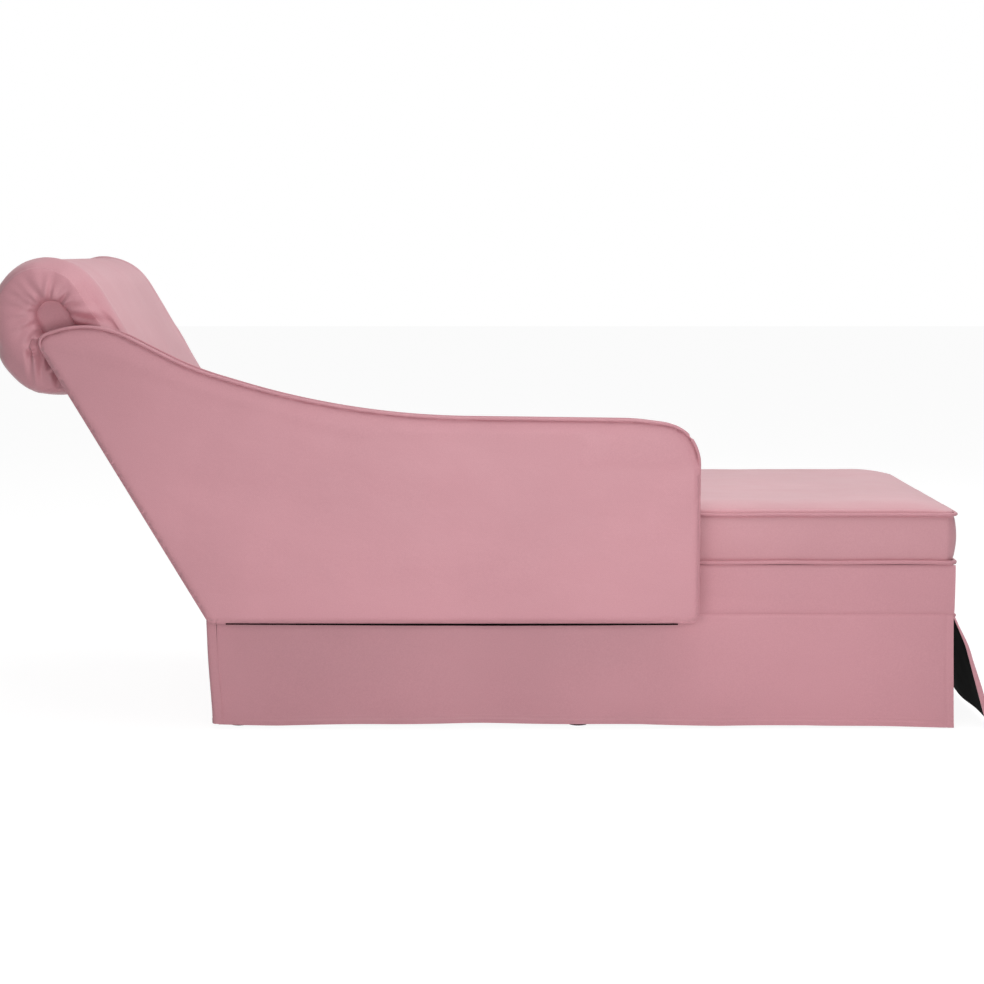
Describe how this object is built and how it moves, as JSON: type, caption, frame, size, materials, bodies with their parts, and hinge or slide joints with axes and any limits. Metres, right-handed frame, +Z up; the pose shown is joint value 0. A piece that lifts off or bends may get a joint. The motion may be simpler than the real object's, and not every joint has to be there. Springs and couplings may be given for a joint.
{
  "type": "chaise longue",
  "caption": "Skirted chaise longue with a raked scroll-roll back, one long swept arm, a loose boxed seat cushion with piping and a flared foot flap.",
  "frame": {"origin": "on the floor under the middle of the base, halfway between the foot border and the head skirt and on the centre line of the base", "axes": "+X towards the foot end, +Y away from the arm, +Z up"},
  "size_m": [1.9749, 0.7604, 0.9301],
  "materials": {
    "back_cover": "smooth pink upholstery, soft sheen",
    "board": "plywood and hardboard, unfinished",
    "cover": "smooth pink upholstery, soft sheen",
    "deck": "plain deck cloth",
    "foam": "cut foam block",
    "glide": "matt black",
    "leg": "satin black",
    "lining": "black lining cloth",
    "padding": "needled felt and thin foam",
    "piping": "cord covered in the same cloth",
    "seat_cover": "smooth pink upholstery, soft sheen",
    "steel": "zinc plated",
    "timber": "sawn pine, unfinished",
    "webbing": "woven elastic strip"
  },
  "bodies": {
    "frame": {"arm_band": "cover", "arm_batten_bottom": "timber", "arm_batten_front": "timber", "arm_batten_rear": "timber", "arm_board_inner": "board", "arm_board_outer": "board", "arm_bolts": "steel", "arm_edge_strip": "board", "arm_padding_edge": "padding", "arm_padding_inner": "padding", "arm_padding_outer": "padding", "arm_panel_inner": "cover", "arm_panel_outer": "cover", "arm_piping_inner": "piping", "arm_piping_outer": "piping", "back_cushion": "back_cover", "back_post_arm": "timber", "back_post_open": "timber", "back_rail_low": "timber", "back_rail_middle": "timber", "back_rail_top": "timber", "back_webbing": "webbing", "border_arm": "cover", "border_foot": "cover", "border_open": "cover", "border_padding": "padding", "cross_rail_foot": "timber", "cross_rail_head": "timber", "deck_cloth": "deck", "deck_pad": "padding", "facing_arm": "cover", "facing_open": "cover", "foot_rail": "timber", "glides": "glide", "hanger_bolts": "steel", "head_rail": "timber", "leg_arm_foot": "leg", "leg_arm_head": "leg", "leg_arm_middle": "leg", "leg_blocks": "timber", "leg_open_foot": "leg", "leg_open_head": "leg", "leg_open_middle": "leg", "outside_back_board": "board", "outside_back_cloth": "cover", "side_rail_arm": "timber", "side_rail_open": "timber", "skirt_arm": "cover", "skirt_head": "cover", "skirt_open": "cover", "webbing_cross": "webbing", "webbing_long": "webbing"},
    "seat_cushion": {"seat_foam": "foam", "seat_border": "cover", "seat_bottom_cloth": "cover", "seat_piping_bottom": "piping", "seat_piping_top": "piping", "seat_top": "seat_cover"},
    "foot_flap": {"foot_flap": "cover", "foot_flap_lining": "lining"}
  },
  "joints": [
    {"name": "seat_lift", "type": "slide", "parent": "frame", "child": "seat_cushion", "axis": [0, 0, 1], "range_m": [0, 0.3]},
    {"name": "flap_swing", "type": "hinge", "parent": "frame", "child": "foot_flap", "pos_m": [0.7425, 0, 0.2302], "axis": [0, -1, 0], "range_deg": [-16, 75]}
  ]
}
